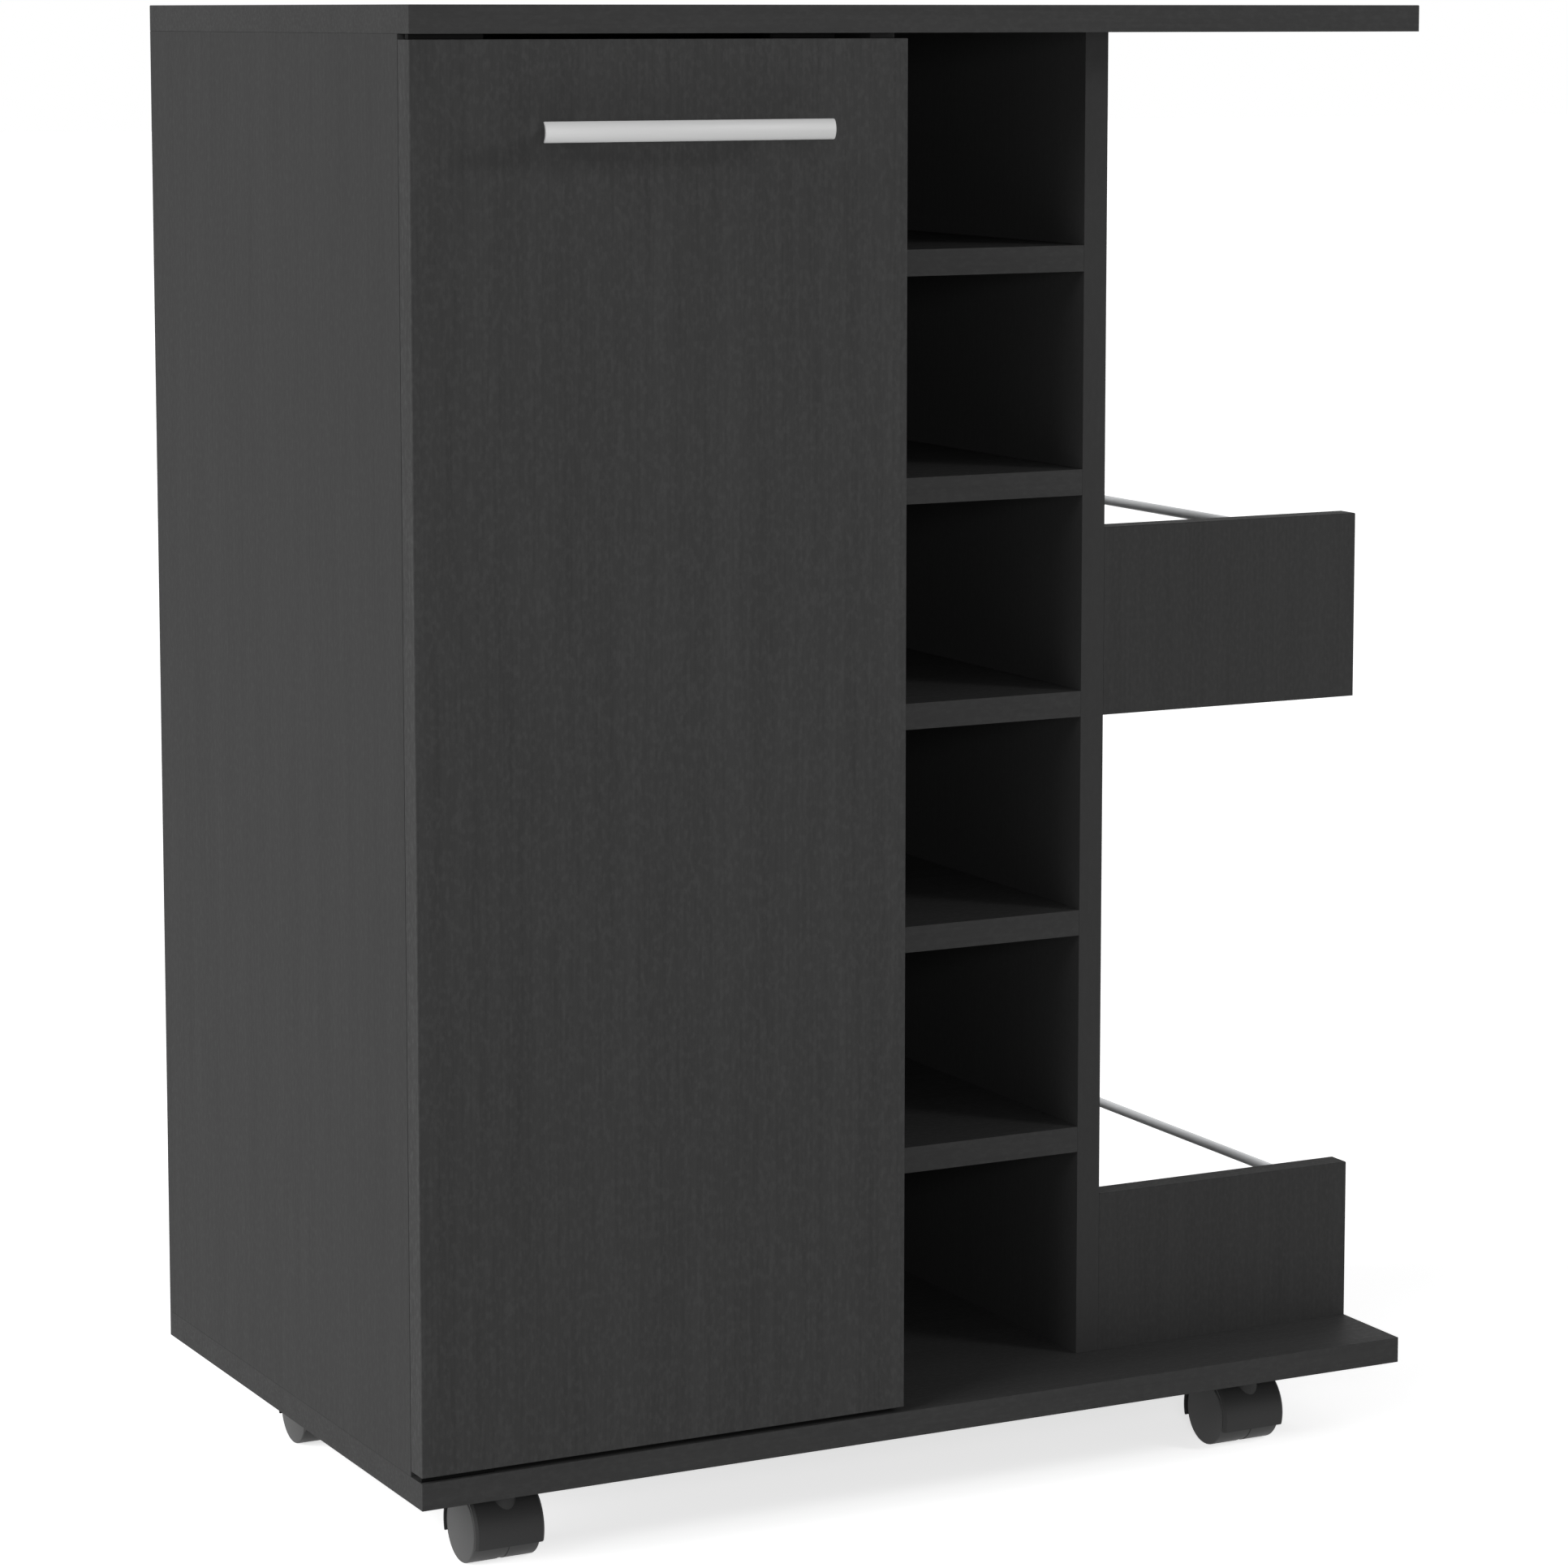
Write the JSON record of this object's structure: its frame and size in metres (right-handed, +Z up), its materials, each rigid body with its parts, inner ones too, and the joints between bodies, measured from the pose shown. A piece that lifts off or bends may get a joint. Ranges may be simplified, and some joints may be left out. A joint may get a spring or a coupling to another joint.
{
  "type": "kitchen island cart",
  "caption": "Rolling kitchen cart in dark melamine with a door cupboard, a column of open bottle cubbies, railed side trays and hooded swivel casters.",
  "frame": {"origin": "on the floor, under the middle of the whole cart, its handle and back panel included", "axes": "+Z up, the front with the door faces -Y, +X towards the side trays"},
  "size_m": [0.626, 0.4264, 0.8475],
  "materials": {
    "melamine": "matt black foil with embossed grain",
    "hardboard": "black-faced hardboard",
    "handle_alloy": "satin anodised",
    "chrome": "polished",
    "hardware_steel": "zinc plated",
    "black_steel": "matt black",
    "caster_plastic": "satin moulded",
    "wheel_plastic": "satin moulded",
    "catch_plastic": "moulded",
    "beech": "raw"
  },
  "bodies": {
    "carcass": {"back_panel": "hardboard", "base_panel": "melamine", "bottle_shelf_1": "melamine", "bottle_shelf_2": "melamine", "bottle_shelf_3": "melamine", "bottle_shelf_4": "melamine", "bottle_shelf_5": "melamine", "cabinet_shelf_lower": "melamine", "cabinet_shelf_upper": "melamine", "cam_bolts": "hardware_steel", "cam_locks": "hardware_steel", "caster_stems": "hardware_steel", "centre_partition": "melamine", "hinge_cabinet_leaves": "black_steel", "left_side_panel": "melamine", "lower_back_fence": "melamine", "lower_front_fence": "melamine", "lower_rail": "chrome", "magnetic_catch": "catch_plastic", "rack_side_panel": "melamine", "shelf_pins": "hardware_steel", "side_shelf": "melamine", "top_panel": "melamine", "upper_back_fence": "melamine", "upper_front_fence": "melamine", "upper_rail": "chrome", "wood_dowels": "beech"},
    "door": {"door_panel": "melamine", "handle_bar": "handle_alloy", "handle_posts": "handle_alloy", "handle_screws": "hardware_steel", "hinge_door_leaves": "black_steel", "catch_plate": "hardware_steel"},
    "caster_front_left": {"caster_front_left_housing": "caster_plastic", "caster_front_left_axle": "hardware_steel"},
    "caster_front_left_left_wheel_body": {"caster_front_left_left_wheel": "wheel_plastic"},
    "caster_front_left_right_wheel_body": {"caster_front_left_right_wheel": "wheel_plastic"},
    "caster_front_right": {"caster_front_right_housing": "caster_plastic", "caster_front_right_axle": "hardware_steel"},
    "caster_front_right_left_wheel_body": {"caster_front_right_left_wheel": "wheel_plastic"},
    "caster_front_right_right_wheel_body": {"caster_front_right_right_wheel": "wheel_plastic"},
    "caster_back_left": {"caster_back_left_housing": "caster_plastic", "caster_back_left_axle": "hardware_steel"},
    "caster_back_left_left_wheel_body": {"caster_back_left_left_wheel": "wheel_plastic"},
    "caster_back_left_right_wheel_body": {"caster_back_left_right_wheel": "wheel_plastic"},
    "caster_back_right": {"caster_back_right_housing": "caster_plastic", "caster_back_right_axle": "hardware_steel"},
    "caster_back_right_left_wheel_body": {"caster_back_right_left_wheel": "wheel_plastic"},
    "caster_back_right_right_wheel_body": {"caster_back_right_right_wheel": "wheel_plastic"}
  },
  "joints": [
    {"name": "door_hinge", "type": "hinge", "parent": "carcass", "child": "door", "pos_m": [-0.31, -0.17425, 0.4485], "axis": [0, 0, -1], "range_deg": [0, 170]},
    {"name": "front_left_swivel", "type": "hinge", "parent": "carcass", "child": "caster_front_left", "pos_m": [-0.249, -0.14025, 0.0492], "axis": [0, 0, 1], "continuous": true},
    {"name": "front_left_left_wheel_spin", "type": "hinge", "parent": "caster_front_left", "child": "caster_front_left_left_wheel_body", "pos_m": [-0.249, -0.12755, 0.0192], "axis": [1, 0, 0], "continuous": true},
    {"name": "front_left_right_wheel_spin", "type": "hinge", "parent": "caster_front_left", "child": "caster_front_left_right_wheel_body", "pos_m": [-0.249, -0.12755, 0.0192], "axis": [1, 0, 0], "continuous": true},
    {"name": "front_right_swivel", "type": "hinge", "parent": "carcass", "child": "caster_front_right", "pos_m": [0.231, -0.14025, 0.0492], "axis": [0, 0, 1], "continuous": true},
    {"name": "front_right_left_wheel_spin", "type": "hinge", "parent": "caster_front_right", "child": "caster_front_right_left_wheel_body", "pos_m": [0.231, -0.12755, 0.0192], "axis": [1, 0, 0], "continuous": true},
    {"name": "front_right_right_wheel_spin", "type": "hinge", "parent": "caster_front_right", "child": "caster_front_right_right_wheel_body", "pos_m": [0.231, -0.12755, 0.0192], "axis": [1, 0, 0], "continuous": true},
    {"name": "back_left_swivel", "type": "hinge", "parent": "carcass", "child": "caster_back_left", "pos_m": [-0.249, 0.10925, 0.0492], "axis": [0, 0, 1], "continuous": true},
    {"name": "back_left_left_wheel_spin", "type": "hinge", "parent": "caster_back_left", "child": "caster_back_left_left_wheel_body", "pos_m": [-0.249, 0.12195, 0.0192], "axis": [1, 0, 0], "continuous": true},
    {"name": "back_left_right_wheel_spin", "type": "hinge", "parent": "caster_back_left", "child": "caster_back_left_right_wheel_body", "pos_m": [-0.249, 0.12195, 0.0192], "axis": [1, 0, 0], "continuous": true},
    {"name": "back_right_swivel", "type": "hinge", "parent": "carcass", "child": "caster_back_right", "pos_m": [0.231, 0.10925, 0.0492], "axis": [0, 0, 1], "continuous": true},
    {"name": "back_right_left_wheel_spin", "type": "hinge", "parent": "caster_back_right", "child": "caster_back_right_left_wheel_body", "pos_m": [0.231, 0.12195, 0.0192], "axis": [1, 0, 0], "continuous": true},
    {"name": "back_right_right_wheel_spin", "type": "hinge", "parent": "caster_back_right", "child": "caster_back_right_right_wheel_body", "pos_m": [0.231, 0.12195, 0.0192], "axis": [1, 0, 0], "continuous": true}
  ]
}
